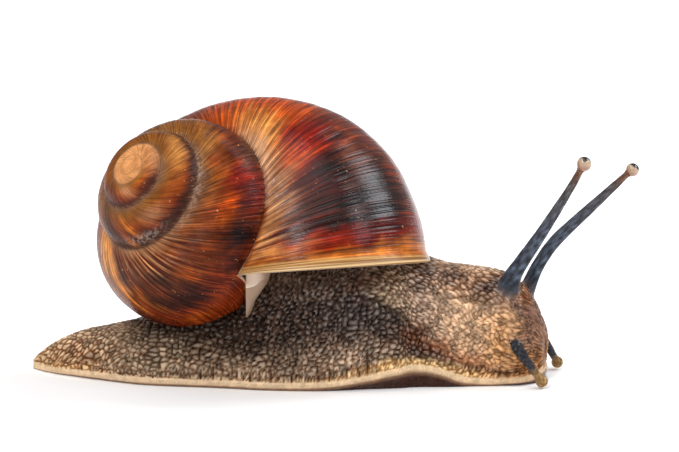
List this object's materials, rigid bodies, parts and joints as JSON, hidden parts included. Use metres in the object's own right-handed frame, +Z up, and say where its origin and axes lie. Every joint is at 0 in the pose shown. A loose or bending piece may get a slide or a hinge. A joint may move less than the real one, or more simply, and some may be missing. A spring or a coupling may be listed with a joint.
{
  "type": "roman snail",
  "caption": "Still life-size Roman snail crawling: a globular coiled shell with a pale lip on a pebbled grey-brown body, feelers out.",
  "frame": {"origin": "centre of the floor rectangle under the whole animal, at floor level", "axes": "+X from the tail to the head, +Y to the animal's left, +Z up"},
  "size_m": [0.0879, 0.0406, 0.0383],
  "materials": {
    "shell_horn": "glossy chestnut shell with pale lip",
    "tail_skin": "moist pale tan skin",
    "trunk_skin": "moist dark grey-brown skin",
    "neck_skin": "moist tan pebbled skin",
    "head_skin": "moist warm brown skin",
    "feeler_skin": "moist blue-grey skin",
    "eye_gloss": "wet gloss"
  },
  "bodies": {
    "root": {"shell": "shell_horn", "tail": "tail_skin", "trunk": "trunk_skin", "neck": "neck_skin", "head": "head_skin", "eye_stalk_right": "feeler_skin", "eye_stalk_left": "feeler_skin", "feeler_right": "feeler_skin", "feeler_left": "feeler_skin", "eye_right": "eye_gloss", "eye_left": "eye_gloss"}
  },
  "joints": []
}
